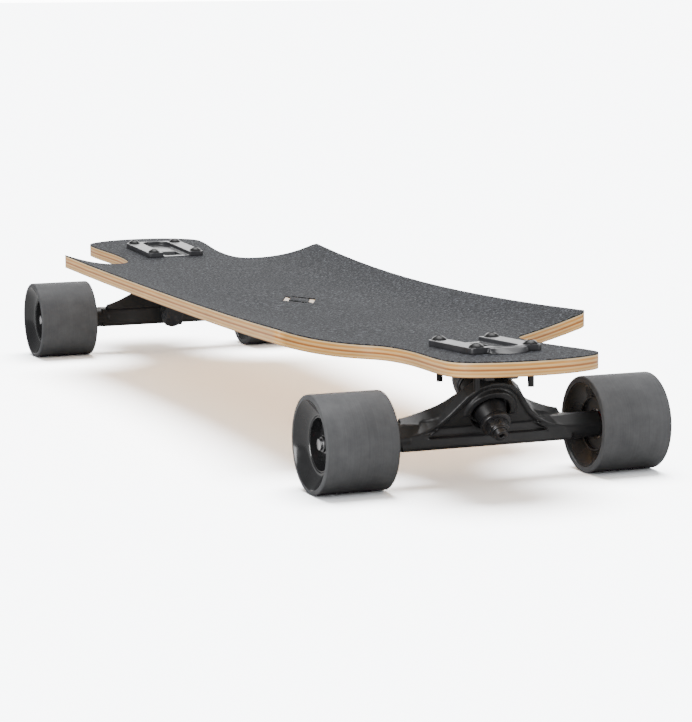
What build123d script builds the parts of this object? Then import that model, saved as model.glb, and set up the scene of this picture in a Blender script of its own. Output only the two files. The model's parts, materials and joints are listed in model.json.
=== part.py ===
from build123d import *
import os
from math import asin, cos, degrees, radians, sin, sqrt, tan

# A drop-through longboard: a concave deck with grip, two reverse-kingpin trucks
# and four wheels on ball bearings. Millimetres. The origin is on the ground under
# the middle of the board, +X points to the front, +Y to the rider's left, +Z up.
# Both ends are alike: the rear truck is the front one turned half a turn about Z.

# Whole board
WHEELBASE = 731.5
NOSE_REACH = 91.75
WAIST_WIDTH = 225.0
WING_WIDTH = 249.0
NECK_WIDTH = 100.0
NOSE_WIDTH = 112.5
WING_BACK = 84.25
NECK_BACK = 20.75
MOUNT_ABOVE_AXLE = 60.08

# Deck section and long curve, measured on top of the grip
WOOD_T = 10.0
GRIP_T = 0.9
FLAT_HALF = 50.0
CONCAVE_R = 207.0
ROCKER_R = 13000.0
ROCKER_BACK = 95.75
KICK_BACK = 39.75
MOUNT_TILT = 2.46
TIP_R = 4.0
NOSE_CORNER = 32.0
BADGE_L = 62.0
BADGE_W = 30.0
BADGE_BAND = 3.2
BADGE_INNER = 0.62

# Truck mounting
HOLE_SPACING_U = 63.5
HOLE_SPACING_V = 41.275
MOUNT_SHIFT = 0.75
FLANGE_L = 76.0
FLANGE_W = 55.0
FLANGE_T = 4.5
FLANGE_CORNER = 4.0
BULGE_L = 12.5
BULGE_W = 19.0
BULGE_IN = 9.0
RECESS_L = 58.0
RECESS_W = 24.0
RECESS_CORNER = 10.0
RECESS_FLOOR = 0.6
WELL_L = 30.0
WELL_WALL = 2.0
BODY_HALF_W = 15.0
BODY_IN = 32.5
BODY_STEP = 12.0
NECK_HALF_W = 10.6
POCKET_HALF_W = 8.6
BODY_OUT = 26.0
BODY_DROP = 17.0
CUTOUT_CLEAR = 0.6
CUTOUT_CORNER = 1.5
BOLT_R = 2.2
BOLT_LENGTH = 30.0
BOLT_HOLE_R = 2.6
BOLT_HEAD_R = 4.65
BOLT_HEAD_T = 2.6
BOLT_SOCKET_AF = 3.2
BOLT_NUT_AF = 9.5
BOLT_NUT_T = 5.4
THREAD_CLEAR = 0.03

# Hanger, kingpin and bushings
HANGER_WIDTH = 180.0
RING_X = 3.65
RING_Z = 21.3
KINGPIN_ANGLE = 36.0
STEER_ANGLE = 44.0
PIVOT_REACH = 32.0
KINGPIN_R = 4.76
KINGPIN_HEAD_AF = 14.3
KINGPIN_HEAD_T = 5.5
KINGPIN_NUT_AF = 14.3
KINGPIN_NUT_T = 7.5
KINGPIN_TIP = 3.5
KINGPIN_SOCKET_AF = 4.0
WEB_T = 10.0
WEB_HOLE_R = 7.5
RING_R = 19.5
SEAT_R = 14.5
ROAD_RIM = 5.0
BOARD_RIM = 2.0
BUSHING_R = 12.7
BUSHING_T = 15.0
BUSHING_SMALL_R = 9.0
BUSHING_CLEAR = 0.25
WASHER_T = 2.0
BOARD_WASHER_R = 13.0
ROAD_WASHER_R = 9.6
WASHER_LIP = 1.6
BOSS_T = 8.0
BOSS_MARGIN = 0.5
NOSE_R = 5.6
CUP_WALL = 1.9
CUP_MOUTH = 3.5
PIVOT_CLEAR = 0.05
HOUSING_WALL = 2.4
BEAM_DEPTH = 18.0
BEAM_LOW = 9.0
BEAM_HIGH = 9.0
WING_END_RISE = 5.2
WING_END_Y = 62.0
WING_T = 11.0
WING_LIFT = 3.5
STEM_GROWTH = 3.0
END_BOSS_R = 9.5

# Wheels and bearings
WHEEL_D = 70.0
WHEEL_W = 53.8
WHEEL_EDGE_R = 1.2
LIP_W = 2.0
DISH_R = 19.5
DISH_DEPTH = 7.4
CORE_R = 18.5
CORE_MARGIN = 2.0
AXLE_R = 4.0
AXLE_END = 2.0
AXLE_NUT_AF = 12.7
AXLE_NUT_T = 7.5
SPEED_WASHER_T = 0.8
SPEED_WASHER_R = 6.0
BEARING_R = 11.0
BEARING_W = 7.0
BEARING_GAP = 10.0
RACE_OUTER_LAND = 8.9
RACE_INNER_LAND = 6.1
BALL_R = 1.984
BALL_COUNT = 7
BALL_CLEAR = 0.045
CAGE_HALF_T = 0.55
CAGE_HALF_W = 2.35
CAGE_CLEAR = 0.12
SHIELD_T = 0.4
SHIELD_INSET = 0.4
SHIELD_GAP = 0.3
FIT = 0.02
WHEEL_OUT = 2.4

# Places that follow from the sizes above
AXLE_X = WHEELBASE / 2
AXLE_Z = WHEEL_D / 2
DECK_LENGTH = WHEELBASE + 2 * NOSE_REACH
WING_X = AXLE_X - WING_BACK
NECK_X = AXLE_X - NECK_BACK
ROCKER_X = AXLE_X - ROCKER_BACK
KICK_X = AXLE_X - KICK_BACK
DECK_T = WOOD_T + GRIP_T
TILT = radians(MOUNT_TILT)
KICK_START = asin(ROCKER_X / ROCKER_R)
KICK_R = (KICK_X - ROCKER_X) / (sin(TILT) - sin(KICK_START))
ROCKER_RISE = ROCKER_R * (1 - cos(KICK_START))
KICK_RISE = KICK_R * (cos(KICK_START) - cos(TILT))
MOUNT_X = AXLE_X + MOUNT_SHIFT
MOUNT_Z = AXLE_Z + MOUNT_ABOVE_AXLE
DECK_HEIGHT = MOUNT_Z - ROCKER_RISE - KICK_RISE - (MOUNT_X - KICK_X) * tan(TILT)
ROCKER_TOP = DECK_HEIGHT + ROCKER_RISE
RING_CENTRE = (AXLE_X + RING_X, 0, AXLE_Z + RING_Z)
PIN_A = radians(KINGPIN_ANGLE)
STEER_A = radians(STEER_ANGLE)
PIVOT_X = RING_CENTRE[0] - PIVOT_REACH * cos(STEER_A)
PIVOT_Z = RING_CENTRE[2] - PIVOT_REACH * sin(STEER_A)
CUP_R = NOSE_R + PIVOT_CLEAR + CUP_WALL
HOUSING_R = CUP_R + HOUSING_WALL
BOSS_START = WEB_T / 2 + BUSHING_T + WASHER_T
HEAD_SEAT = BOSS_START + BOSS_T
PIN_END = -(BOSS_START + KINGPIN_NUT_T + KINGPIN_TIP)
BEARING_IN_Y = HANGER_WIDTH / 2 + SPEED_WASHER_T
BEARING_OUT_Y = BEARING_IN_Y + BEARING_W + BEARING_GAP
NUT_Y = BEARING_OUT_Y + BEARING_W + SPEED_WASHER_T
AXLE_HALF = NUT_Y + AXLE_NUT_T + AXLE_END
WHEEL_Y = (BEARING_IN_Y + BEARING_OUT_Y + BEARING_W) / 2 + WHEEL_OUT
BALL_PITCH = (BEARING_R + AXLE_R) / 2

# Working planes of the front truck. On each, local Y is the row's Y.
def tilted(origin, x_dir, z_dir):
    """A plane square to the XZ plane, from the X and Z parts of its directions."""
    return Plane(origin=origin, x_dir=(x_dir[0], 0, x_dir[1]), z_dir=(z_dir[0], 0, z_dir[1]))


MOUNT = tilted((MOUNT_X, 0, MOUNT_Z), (cos(TILT), sin(TILT)), (-sin(TILT), cos(TILT)))
PIN = tilted(RING_CENTRE, (sin(PIN_A), cos(PIN_A)), (-cos(PIN_A), sin(PIN_A)))
PIVOT = tilted((PIVOT_X, 0, PIVOT_Z), (sin(STEER_A), -cos(STEER_A)), (cos(STEER_A), sin(STEER_A)))
SPIN = Plane(origin=(AXLE_X, 0, AXLE_Z), x_dir=(1, 0, 0), z_dir=(0, 1, 0))


def rod(plane, radius, start, end):
    """A cylinder about a plane's normal, from one distance along it to another."""
    return extrude(plane.offset(start) * Circle(radius), end - start)


def ring(plane, outer, inner, start, end):
    """A washer-shaped solid about a plane's normal."""
    return extrude(plane.offset(start) * (Circle(outer) - Circle(inner)), end - start)


def hexagon(plane, across_flats, start, end, turn=0.0):
    """A hexagonal prism about a plane's normal."""
    shape = Rot(0, 0, turn) * RegularPolygon(across_flats / 2, 6, major_radius=False)
    return extrude(plane.offset(start) * shape, end - start)


def cone(plane, start_radius, end_radius, start, end):
    """A straight taper about a plane's normal."""
    sections = [plane.offset(start) * Circle(start_radius), plane.offset(end) * Circle(end_radius)]
    return loft(sections, ruled=True)


def to_side(point):
    """A point of the XZ plane, from row coordinates."""
    return (point.X, point.Z)


def at_mount(u, w):
    """A point of the mount frame on the centre plane, as a point of the XZ plane."""
    return to_side(MOUNT.from_local_coords(Vector(u, 0, w)))


def at_pin(s, along):
    """A point of the kingpin frame on the centre plane, as a point of the XZ plane."""
    return to_side(PIN.from_local_coords(Vector(s, 0, along)))


def side_plate(points, half_width):
    """A plate with a polygon of the XZ plane as its outline, centred on Y."""
    return extrude(Plane.XZ * Polygon(*points, align=None), half_width, both=True)


# Deck

def board_profile(top, bottom):
    """Section across the board between two depths under the top of the grip."""
    turn = asin((WING_WIDTH / 2 + 12 - FLAT_HALF) / CONCAVE_R)

    def side_arc(depth, side):
        radius = CONCAVE_R + depth
        centre_z = CONCAVE_R
        return [
            (side * (FLAT_HALF + radius * sin(turn * part)), centre_z - radius * cos(turn * part))
            for part in (0, 0.5, 1)
        ]

    upper_left, upper_right = side_arc(top, -1), side_arc(top, 1)
    lower_left, lower_right = side_arc(bottom, -1), side_arc(bottom, 1)
    edges = [
        ThreePointArc(*reversed(upper_left)),
        Line(upper_left[0], upper_right[0]),
        ThreePointArc(*upper_right),
        Line(upper_right[2], lower_right[2]),
        ThreePointArc(*reversed(lower_right)),
        Line(lower_right[0], lower_left[0]),
        ThreePointArc(*lower_left),
        Line(lower_left[2], upper_left[2]),
    ]
    place = Plane.YZ * Pos(0, DECK_HEIGHT)
    return make_face([place * edge for edge in edges])


def board_slab(top, bottom):
    """The moulded slab: a long shallow curve, a tighter one and a flat end, mirrored."""
    middle = board_profile(top, bottom)
    rocker_axis = Axis((0, 0, DECK_HEIGHT + ROCKER_R), (0, -1, 0))
    kick_centre = (ROCKER_X - KICK_R * sin(KICK_START), 0, ROCKER_TOP + KICK_R * cos(KICK_START))
    kick_axis = Axis(kick_centre, (0, -1, 0))
    first = degrees(KICK_START)
    second = MOUNT_TILT - first
    rocker = revolve(middle, rocker_axis, first)
    joint_face = middle.rotate(rocker_axis, first)
    kick = revolve(joint_face, kick_axis, second)
    end_face = joint_face.rotate(kick_axis, second)
    flat = extrude(end_face, DECK_LENGTH / 2 - KICK_X + 10, dir=(cos(TILT), 0, sin(TILT)))
    half = rocker + kick + flat
    return half + mirror(half, about=Plane.YZ)


def board_outline():
    """Plan of the board: waist, wings, wheel cut-outs, necks and rounded ends."""
    waist, wing = WAIST_WIDTH / 2, WING_WIDTH / 2
    neck, nose = NECK_WIDTH / 2, NOSE_WIDTH / 2
    end = DECK_LENGTH / 2
    shoulder = end - NOSE_CORNER
    cut_x = WING_X + 1
    side = Spline(
        (0, waist),
        (WING_X * 0.5, waist + (wing - waist) * 0.28),
        (WING_X - TIP_R, wing - TIP_R * 0.15),
        tangents=[(1, 0), (1, 0.07)],
    )
    tip_mid, tip_end = (WING_X - TIP_R * 0.2, wing - TIP_R * 0.6), (WING_X + 0.4, wing - TIP_R * 2)
    tip = ThreePointArc(side @ 1, tip_mid, tip_end)
    cut = Spline(
        tip @ 1,
        (cut_x + 2, neck + (wing - neck) * 0.56),
        (cut_x + 12.5, neck + (wing - neck) * 0.24),
        (NECK_X, neck),
        tangents=[(-0.02, -1), (1, 0)],
    )
    flare_mid = (NECK_X + (shoulder - NECK_X) * 0.648, neck + (nose - neck) * 0.72)
    flare = Spline((NECK_X, neck), flare_mid, (shoulder, nose), tangents=[(1, 0), (1, 0)])
    corner_in = (end - 9.5, nose - 15)
    corner = Spline((shoulder, nose), corner_in, (end, 0), tangents=[(1, 0), (0, -1)])
    quarter = [side, tip, cut, flare, corner]
    right = [mirror(edge, about=Plane.XZ) for edge in quarter]
    front = quarter + right
    rear = [mirror(edge, about=Plane.YZ) for edge in front]
    edges = [edge for item in front + rear for edge in item.edges()]
    return make_face(edges)


def mount_cuts(top, bottom):
    """The drop-through cut-out and bolt holes of both ends, as solids to cut away."""
    slot = Sketch() + [
        Pos((low + high) / 2, 0)
        * RectangleRounded(high - low + 2 * CUTOUT_CLEAR, 2 * (half_w + CUTOUT_CLEAR), CUTOUT_CORNER)
        for low, high, half_w in ((-BODY_IN, 0, NECK_HALF_W), (-BODY_STEP, BODY_OUT, BODY_HALF_W))
    ]
    spots = GridLocations(HOLE_SPACING_U, HOLE_SPACING_V, 2, 2)
    holes = Sketch() + [spot * Circle(BOLT_HOLE_R) for spot in spots]
    front = extrude(MOUNT.offset(-bottom - 1) * (slot + holes), bottom - top + 2)
    return front, Rot(0, 0, 180) * front


def board_layer(top, bottom):
    """One layer of the board between two depths, with its cut-outs."""
    prism = extrude(Plane.XY.offset(DECK_HEIGHT - 30) * board_outline(), 80)
    layer = board_slab(top, bottom) & prism
    front, rear = mount_cuts(top, bottom)
    return layer - front - rear


def badge():
    """A plain open diamond left bare in the grip at the middle of the board."""
    long, wide = BADGE_L / 2, BADGE_W / 2
    outer = Polygon((-long, 0), (0, -wide), (long, 0), (0, wide), align=None)
    inner = scale(outer, BADGE_INNER)
    band = Rectangle(BADGE_L, BADGE_BAND)
    return extrude(Plane.XY.offset(DECK_HEIGHT - 5) * (outer - inner - band), 12)


# Truck pieces that stay with the board

def thimble(radius, mouth):
    """A round-ended plug about the steering axis, open end towards the hanger."""
    return rod(PIVOT, radius, 0, mouth) + (PIVOT * Sphere(radius) & rod(PIVOT, radius + 1, -radius - 1, 0))


def baseplate():
    """Flange on the grip, body through the deck, kingpin boss, leg and pivot housing."""
    flange = extrude(MOUNT * RectangleRounded(FLANGE_L, FLANGE_W, FLANGE_CORNER), FLANGE_T)
    bulge = extrude(MOUNT * Pos(FLANGE_L / 2 - BULGE_IN, 0) * Ellipse(BULGE_L, BULGE_W), FLANGE_T - 1)
    top_in, top_out = at_mount(-BODY_IN, 0), at_mount(BODY_OUT, 0)
    low_out, low_mid = at_mount(BODY_OUT - 2, -BODY_DROP), at_mount(-2, -BODY_DROP)
    boss_r = BOARD_WASHER_R + BOSS_MARGIN
    boss_high, boss_low = at_pin(boss_r, BOSS_START), at_pin(-boss_r, BOSS_START)
    boss_back = at_pin(-boss_r, HEAD_SEAT)
    back_low = at_pin(-boss_r + 2, HEAD_SEAT + KINGPIN_HEAD_T)
    neck_side = [top_in, at_mount(0, 0), low_mid, boss_high, boss_low, boss_back, back_low]
    neck = side_plate(neck_side, NECK_HALF_W)
    step_low = at_mount(-BODY_STEP, -BODY_DROP)
    body = neck + side_plate([at_mount(-BODY_STEP, 0), top_out, low_out, step_low], BODY_HALF_W)
    front_block = side_plate([top_out, low_out, low_mid, at_mount(-2, 0)], BODY_HALF_W)
    body = body & (rod(PIN, FLANGE_L, BOSS_START, BOSS_START + FLANGE_L) + front_block)
    boss = rod(PIN, boss_r, BOSS_START, HEAD_SEAT)
    mouth = to_side(PIVOT.from_local_coords(Vector(-HOUSING_R * 0.97, 0, 0)))
    heel = to_side(PIVOT.from_local_coords(Vector(-HOUSING_R * 0.55, 0, -HOUSING_R * 0.8)))
    back = to_side(PIVOT.from_local_coords(Vector(HOUSING_R * 0.3, 0, -HOUSING_R * 0.9)))
    leg_in = (heel[0] - 1.5, boss_low[1] - 8)
    leg = side_plate([boss_low, mouth, back, heel, leg_in, boss_back], HOUSING_R * 0.85)
    housing = thimble(HOUSING_R, CUP_MOUTH - 0.5)
    plate = flange + bulge + body + boss + leg + housing
    recess_outline = RectangleRounded(RECESS_L, RECESS_W, RECESS_CORNER)
    recess = extrude(MOUNT.offset(RECESS_FLOOR) * Pos(-1, 0) * recess_outline, FLANGE_T)
    low, high, top = -POCKET_HALF_W, FLANGE_L, HEAD_SEAT + FLANGE_L
    pocket_corners = ((low, HEAD_SEAT), (high, HEAD_SEAT), (high, top), (low, top))
    pocket = side_plate([at_pin(across, along) for across, along in pocket_corners], POCKET_HALF_W)
    well_outline = Pos(WELL_WALL + WELL_L / 2 - BODY_IN, 0) * RectangleRounded(WELL_L, 2 * POCKET_HALF_W, 3)
    well = extrude(MOUNT.offset(-2 * BODY_DROP) * well_outline, 2 * BODY_DROP + FLANGE_T)
    plate = plate - recess - (pocket & well)
    plate = plate - rod(PIN, KINGPIN_R + THREAD_CLEAR, BOSS_START - 5, HEAD_SEAT + 5)
    plate = plate - thimble(CUP_R + THREAD_CLEAR, CUP_MOUTH + 6)
    for loc in GridLocations(HOLE_SPACING_U, HOLE_SPACING_V, 2, 2):
        hole = extrude(MOUNT.offset(-1) * loc * Circle(BOLT_HOLE_R), FLANGE_T + 2)
        plate = plate - hole
    return plate


def kingpin():
    """Bolt from the baseplate through both bushings, with a socket in its tip."""
    head = hexagon(PIN, KINGPIN_HEAD_AF, HEAD_SEAT, HEAD_SEAT + KINGPIN_HEAD_T, 30)
    shank = rod(PIN, KINGPIN_R, PIN_END, HEAD_SEAT)
    return head + shank - hexagon(PIN, KINGPIN_SOCKET_AF, PIN_END - 1, PIN_END + 3)


def kingpin_nut():
    start = -BOSS_START
    collar = rod(PIN, KINGPIN_NUT_AF / 2 - 0.8, start - KINGPIN_NUT_T, start)
    nut = hexagon(PIN, KINGPIN_NUT_AF, start - KINGPIN_NUT_T + 1.8, start) + collar
    return nut - rod(PIN, KINGPIN_R + THREAD_CLEAR, start - 20, start + 5)


def boardside_bushing():
    return ring(PIN, BUSHING_R, KINGPIN_R + BUSHING_CLEAR, WEB_T / 2, WEB_T / 2 + BUSHING_T)


def roadside_bushing():
    start, end = -WEB_T / 2 - BUSHING_T, -WEB_T / 2
    barrel = cone(PIN, BUSHING_SMALL_R, BUSHING_R, start, end)
    return barrel - rod(PIN, KINGPIN_R + BUSHING_CLEAR, start - 1, end + 1)


def boardside_washer():
    start = WEB_T / 2 + BUSHING_T
    return ring(PIN, BOARD_WASHER_R, KINGPIN_R + THREAD_CLEAR, start, start + WASHER_T)


def roadside_washer():
    """Cup washer: a disc with a lip around the end of the bushing."""
    start = -BOSS_START
    disc = ring(PIN, ROAD_WASHER_R + 1.2, KINGPIN_R + THREAD_CLEAR, start, start + WASHER_T)
    lip_end = start + WASHER_T + WASHER_LIP
    lip = ring(PIN, ROAD_WASHER_R + 1.2, ROAD_WASHER_R, start + WASHER_T, lip_end)
    return disc + lip


def pivot_cup():
    """Urethane thimble between the housing and the hanger's nose."""
    outside = thimble(CUP_R, CUP_MOUTH)
    inside = rod(PIVOT, NOSE_R + PIVOT_CLEAR, 0, 10) + PIVOT * Sphere(NOSE_R + PIVOT_CLEAR)
    return outside - inside


def mounting_bolts():
    """Button-head bolts down through flange, grip and deck."""
    bolts = []
    for loc in GridLocations(HOLE_SPACING_U, HOLE_SPACING_V, 2, 2):
        plane = Plane(MOUNT * loc)
        dome_r = (BOLT_HEAD_R**2 + BOLT_HEAD_T**2) / (2 * BOLT_HEAD_T)
        ball = plane.offset(FLANGE_T + BOLT_HEAD_T - dome_r) * Sphere(dome_r)
        head = ball & rod(plane, BOLT_HEAD_R, FLANGE_T, FLANGE_T + BOLT_HEAD_T)
        shank = rod(plane, BOLT_R, FLANGE_T - BOLT_LENGTH, FLANGE_T + 0.5)
        socket = hexagon(plane, BOLT_SOCKET_AF, FLANGE_T + 1, FLANGE_T + BOLT_HEAD_T + 1)
        bolts.append(head + shank - socket)
    return bolts


def mounting_nuts():
    """Locknuts under the deck, flats along the board."""
    nuts = []
    for loc in GridLocations(HOLE_SPACING_U, HOLE_SPACING_V, 2, 2):
        plane = Plane(MOUNT * loc)
        low = -DECK_T - BOLT_NUT_T
        body = hexagon(plane, BOLT_NUT_AF, low + 1.4, -DECK_T, 30)
        collar = rod(plane, BOLT_NUT_AF / 2 - 0.6, low, -DECK_T)
        nuts.append(body + collar - rod(plane, BOLT_R + THREAD_CLEAR, low - 1, 0))
    return nuts


# Hanger body

def hanger():
    """Cast beam with swept wings, bushing ring, pivot nose and round ends."""
    beam_half = WING_END_Y + 4
    beam_box = Rectangle(BEAM_DEPTH, BEAM_LOW + BEAM_HIGH)
    beam_plane = Plane.XZ * Pos(AXLE_X, AXLE_Z + (BEAM_HIGH - BEAM_LOW) / 2)
    beam = extrude(beam_plane * fillet(beam_box.vertices(), 3), beam_half, both=True)
    end_plane = Plane(origin=(AXLE_X, 0, AXLE_Z), x_dir=(1, 0, 0), z_dir=(0, 1, 0))
    ends = rod(end_plane, END_BOSS_R, -HANGER_WIDTH / 2, HANGER_WIDTH / 2)
    ends = ends - rod(end_plane, END_BOSS_R + 1, -beam_half + 6, beam_half - 6)
    low_s = -(RING_X * sin(PIN_A) + RING_Z * cos(PIN_A))
    tip_s = low_s + WING_END_RISE
    top = Spline(
        (tip_s, WING_END_Y),
        (tip_s + 6.5, WING_END_Y - 18),
        (tip_s + 11.9, WING_END_Y - 28),
        (tip_s + 23, RING_R + 2),
        (RING_R * 0.8, RING_R * 0.6),
        tangents=[(0.2, -1), (0.6, -1)],
    )
    right_top = mirror(top, about=Plane.XZ)
    over = Line(top @ 1, right_top @ 1)
    left_end = Line((low_s, WING_END_Y), top @ 0)
    right_end = Line((low_s, -WING_END_Y), right_top @ 0)
    under = Line((low_s, WING_END_Y), (low_s, -WING_END_Y))
    outline = make_face([top, over, right_top, right_end, under, left_end])
    wing_low = -(RING_Z * sin(PIN_A) - RING_X * cos(PIN_A)) + WING_LIFT
    wings = extrude(PIN.offset(wing_low) * outline, WING_T)
    rim = rod(PIN, RING_R, -WEB_T / 2 - ROAD_RIM, WEB_T / 2 + BOARD_RIM)
    stem_end = PIVOT_REACH - WEB_T / 2 - ROAD_RIM - BOARD_RIM
    stem = cone(PIVOT, NOSE_R, NOSE_R + STEM_GROWTH, CUP_MOUTH, stem_end)
    nose = PIVOT * Sphere(NOSE_R) + rod(PIVOT, NOSE_R, 0, CUP_MOUTH)
    body = beam + ends + wings + rim + stem + nose
    body = body - rod(PIN, SEAT_R, WEB_T / 2, WEB_T / 2 + 40)
    body = body - rod(PIN, SEAT_R, -WEB_T / 2 - 40, -WEB_T / 2)
    body = body - rod(PIN, WEB_HOLE_R, -WEB_T, WEB_T)
    return body - rod(end_plane, AXLE_R + FIT, -HANGER_WIDTH, HANGER_WIDTH)


def axle():
    return rod(SPIN, AXLE_R, -AXLE_HALF, AXLE_HALF)


def axle_nut():
    collar = rod(SPIN, AXLE_NUT_AF / 2 - 0.9, NUT_Y, NUT_Y + AXLE_NUT_T)
    nut = hexagon(SPIN, AXLE_NUT_AF, NUT_Y, NUT_Y + AXLE_NUT_T - 1.8) + collar
    return nut - rod(SPIN, AXLE_R + FIT, NUT_Y - 1, NUT_Y + 20)


def speed_washers():
    starts = (HANGER_WIDTH / 2, NUT_Y - SPEED_WASHER_T)
    return [ring(SPIN, SPEED_WASHER_R, AXLE_R + FIT, y, y + SPEED_WASHER_T) for y in starts]


def bearing_spacer():
    return ring(SPIN, 5.2, AXLE_R + FIT, BEARING_IN_Y + BEARING_W, BEARING_OUT_Y)


# Bearings

def groove(centre_y):
    """The ring of space that the balls run in, as a solid to cut away."""
    circle = Pos(BALL_PITCH, 0) * Circle(BALL_R + BALL_CLEAR)
    torus = revolve(Plane.XZ * circle, Axis.Z)
    return SPIN.offset(centre_y) * torus


def bearing_centres():
    return [BEARING_IN_Y + BEARING_W / 2, BEARING_OUT_Y + BEARING_W / 2]


def inner_races():
    races = []
    for y in bearing_centres():
        race = ring(SPIN, RACE_INNER_LAND, AXLE_R + FIT, y - BEARING_W / 2, y + BEARING_W / 2)
        races.append(race - groove(y))
    return races


def outer_races():
    races = []
    for y in bearing_centres():
        race = ring(SPIN, BEARING_R, RACE_OUTER_LAND, y - BEARING_W / 2, y + BEARING_W / 2)
        races.append(race - groove(y))
    return races


def ball_turns():
    """Angle of each ball about the axle."""
    return [360 / BALL_COUNT * i for i in range(BALL_COUNT)]


def bearing_balls():
    ball = Pos(BALL_PITCH, 0, 0) * Sphere(BALL_R)
    return [SPIN.offset(y) * (Rot(0, 0, turn) * ball) for y in bearing_centres() for turn in ball_turns()]


def bearing_cages():
    cages = []
    for y in bearing_centres():
        outer, inner = BALL_PITCH + CAGE_HALF_T, BALL_PITCH - CAGE_HALF_T
        cage = ring(SPIN, outer, inner, y - CAGE_HALF_W, y + CAGE_HALF_W)
        for turn in ball_turns():
            pocket = Plane(SPIN.offset(y) * Rot(0, 0, turn) * Rot(0, 90, 0))
            cage = cage - rod(pocket, BALL_R + CAGE_CLEAR, BALL_PITCH - 2, BALL_PITCH + 2)
        cages.append(cage)
    return cages


def bearing_shields():
    """Thin seals held in the outer race, just clear of the inner one."""
    outer = RACE_OUTER_LAND - FIT
    inner = RACE_INNER_LAND + SHIELD_GAP
    shields = []
    for y in bearing_centres():
        for side in (-1, 1):
            face = y + side * (BEARING_W / 2 - SHIELD_INSET)
            low, high = sorted((face, face - side * SHIELD_T))
            shields.append(ring(SPIN, outer, inner, low, high))
    return shields


# Wheels

def wheel_core():
    """Hub with a seat for each bearing and a shoulder between them."""
    low, high = BEARING_IN_Y - CORE_MARGIN, BEARING_OUT_Y + BEARING_W + CORE_MARGIN
    core = ring(SPIN, CORE_R, BEARING_R - 1.6, low, high)
    core = core - rod(SPIN, BEARING_R + FIT, low - 1, BEARING_IN_Y + BEARING_W)
    return core - rod(SPIN, BEARING_R + FIT, BEARING_OUT_Y, high + 1)


def tyre():
    """Urethane tread with a lip and a dished face on each side, cast around the core."""
    radius, half = WHEEL_D / 2, WHEEL_W / 2
    low = BEARING_IN_Y - CORE_MARGIN - WHEEL_Y
    high = BEARING_OUT_Y + BEARING_W + CORE_MARGIN - WHEEL_Y
    edge = radius - WHEEL_EDGE_R
    bend = WHEEL_EDGE_R * (1 - sqrt(0.5))
    lip = edge - LIP_W
    dish = [(lip - 0.6, half - 0.5), (DISH_R, half - DISH_DEPTH)]
    outer_side = [(edge, half), (lip, half), *dish, (DISH_R, high)]
    inner_side = [(x, -y) for x, y in outer_side[:-1]] + [(DISH_R, low)]
    profile = [
        Polyline((CORE_R, low), (CORE_R, high), *reversed(outer_side)),
        ThreePointArc((edge, half), (radius - bend, half - bend), (radius, half - WHEEL_EDGE_R)),
        Line((radius, half - WHEEL_EDGE_R), (radius, WHEEL_EDGE_R - half)),
        ThreePointArc((radius, WHEEL_EDGE_R - half), (radius - bend, bend - half), (edge, -half)),
        Polyline(*inner_side, (CORE_R, low)),
    ]
    face = make_face([Plane.XZ * edge for item in profile for edge in item.edges()])
    return SPIN.offset(WHEEL_Y) * revolve(face, Axis.Z)


def write(name, solids):
    """Export one named piece, or a group of alike pieces, to its own file."""
    shape = solids[0] if len(solids) == 1 else Compound(children=list(solids))
    export_step(shape, f"parts/{name}.step")


def as_list(made):
    return made if isinstance(made, list) else [made]


os.makedirs("parts", exist_ok=True)
write("deck", [board_layer(GRIP_T, DECK_T)])
write("grip_tape", [board_layer(0, GRIP_T) - badge()])

BOARD_PIECES = {
    "baseplate": baseplate,
    "kingpin": kingpin,
    "kingpin_nut": kingpin_nut,
    "boardside_bushing": boardside_bushing,
    "roadside_bushing": roadside_bushing,
    "boardside_washer": boardside_washer,
    "roadside_washer": roadside_washer,
    "pivot_cup": pivot_cup,
    "mounting_bolts": mounting_bolts,
    "mounting_nuts": mounting_nuts,
    "hanger": hanger,
    "axle": axle,
}
AXLE_GROUPS = {
    "axle_nuts": [axle_nut()],
    "speed_washers": speed_washers(),
    "bearing_spacers": [bearing_spacer()],
    "inner_races": inner_races(),
}
WHEEL_PIECES = {
    "tyre": [tyre()],
    "wheel_core": [wheel_core()],
    "outer_races": outer_races(),
    "bearing_balls": bearing_balls(),
    "bearing_cages": bearing_cages(),
    "bearing_shields": bearing_shields(),
}

for end, turn in (("front", 0), ("rear", 180)):
    place = Rot(0, 0, turn)
    for name, make in BOARD_PIECES.items():
        write(f"{end}_{name}", [place * piece for piece in as_list(make())])
    for name, pieces in AXLE_GROUPS.items():
        pair = pieces + [mirror(piece, about=Plane.XZ) for piece in pieces]
        write(f"{end}_{name}", [place * piece for piece in pair])
    for side in ("left", "right"):
        on_left = (side == "left") == (end == "front")
        for name, pieces in WHEEL_PIECES.items():
            kept = pieces if on_left else [mirror(piece, about=Plane.XZ) for piece in pieces]
            write(f"{end}_{side}_{name}", [place * piece for piece in kept])
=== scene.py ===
import json
import math

import bmesh
import bpy
from mathutils import Matrix, Vector
from mathutils.bvhtree import BVHTree


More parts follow.
